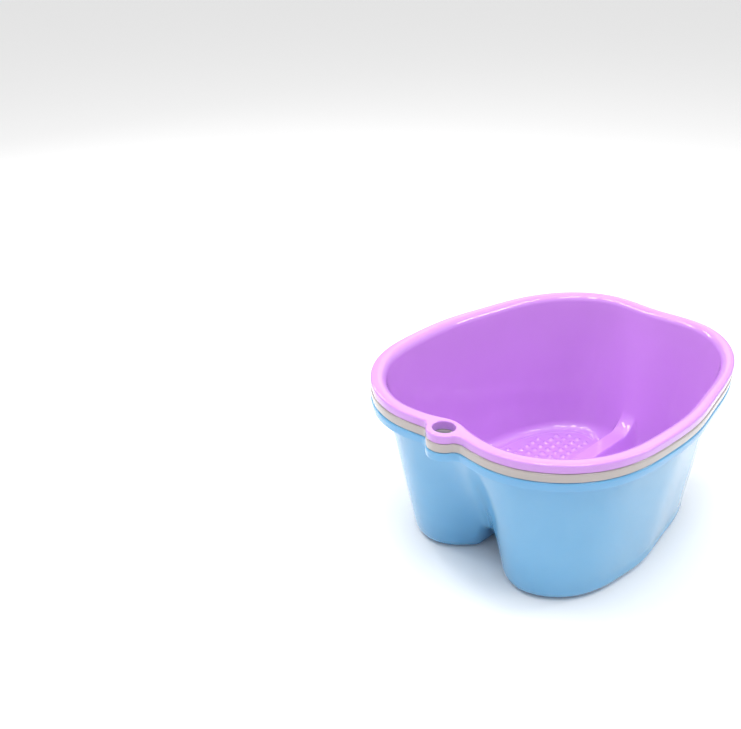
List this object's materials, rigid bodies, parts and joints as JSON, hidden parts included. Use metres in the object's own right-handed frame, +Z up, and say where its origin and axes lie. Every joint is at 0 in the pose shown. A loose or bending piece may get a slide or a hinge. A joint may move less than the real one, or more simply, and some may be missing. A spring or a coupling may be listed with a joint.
{
  "type": "nested foot bath basins",
  "caption": "Nest of foot bath basins with rolled rims, a hanging ear, two foot wells, a centre ridge and massage domes; they lift out one by one.",
  "frame": {"origin": "on the floor under the middle of the nest's bounding box", "axes": "+Z up, -Y towards the hanging ear at the toe end, +Y towards the heel notch, x = 0 is the plane of symmetry through the ridge"},
  "size_m": [0.3528, 0.4396, 0.211],
  "materials": {
    "sky_blue_plastic": "glossy moulded polypropylene, slightly milky",
    "cream_plastic": "glossy moulded polypropylene",
    "lilac_plastic": "glossy moulded polypropylene"
  },
  "bodies": {
    "sky_blue": {"sky_blue_basin": "sky_blue_plastic"},
    "cream": {"cream_basin": "cream_plastic"},
    "lilac": {"lilac_basin": "lilac_plastic"}
  },
  "joints": [
    {"name": "cream_lift", "type": "slide", "parent": "sky_blue", "child": "cream", "axis": [0, 0, 1], "range_m": [0, 0.22]},
    {"name": "lilac_lift", "type": "slide", "parent": "cream", "child": "lilac", "axis": [0, 0, 1], "range_m": [0, 0.22]}
  ]
}
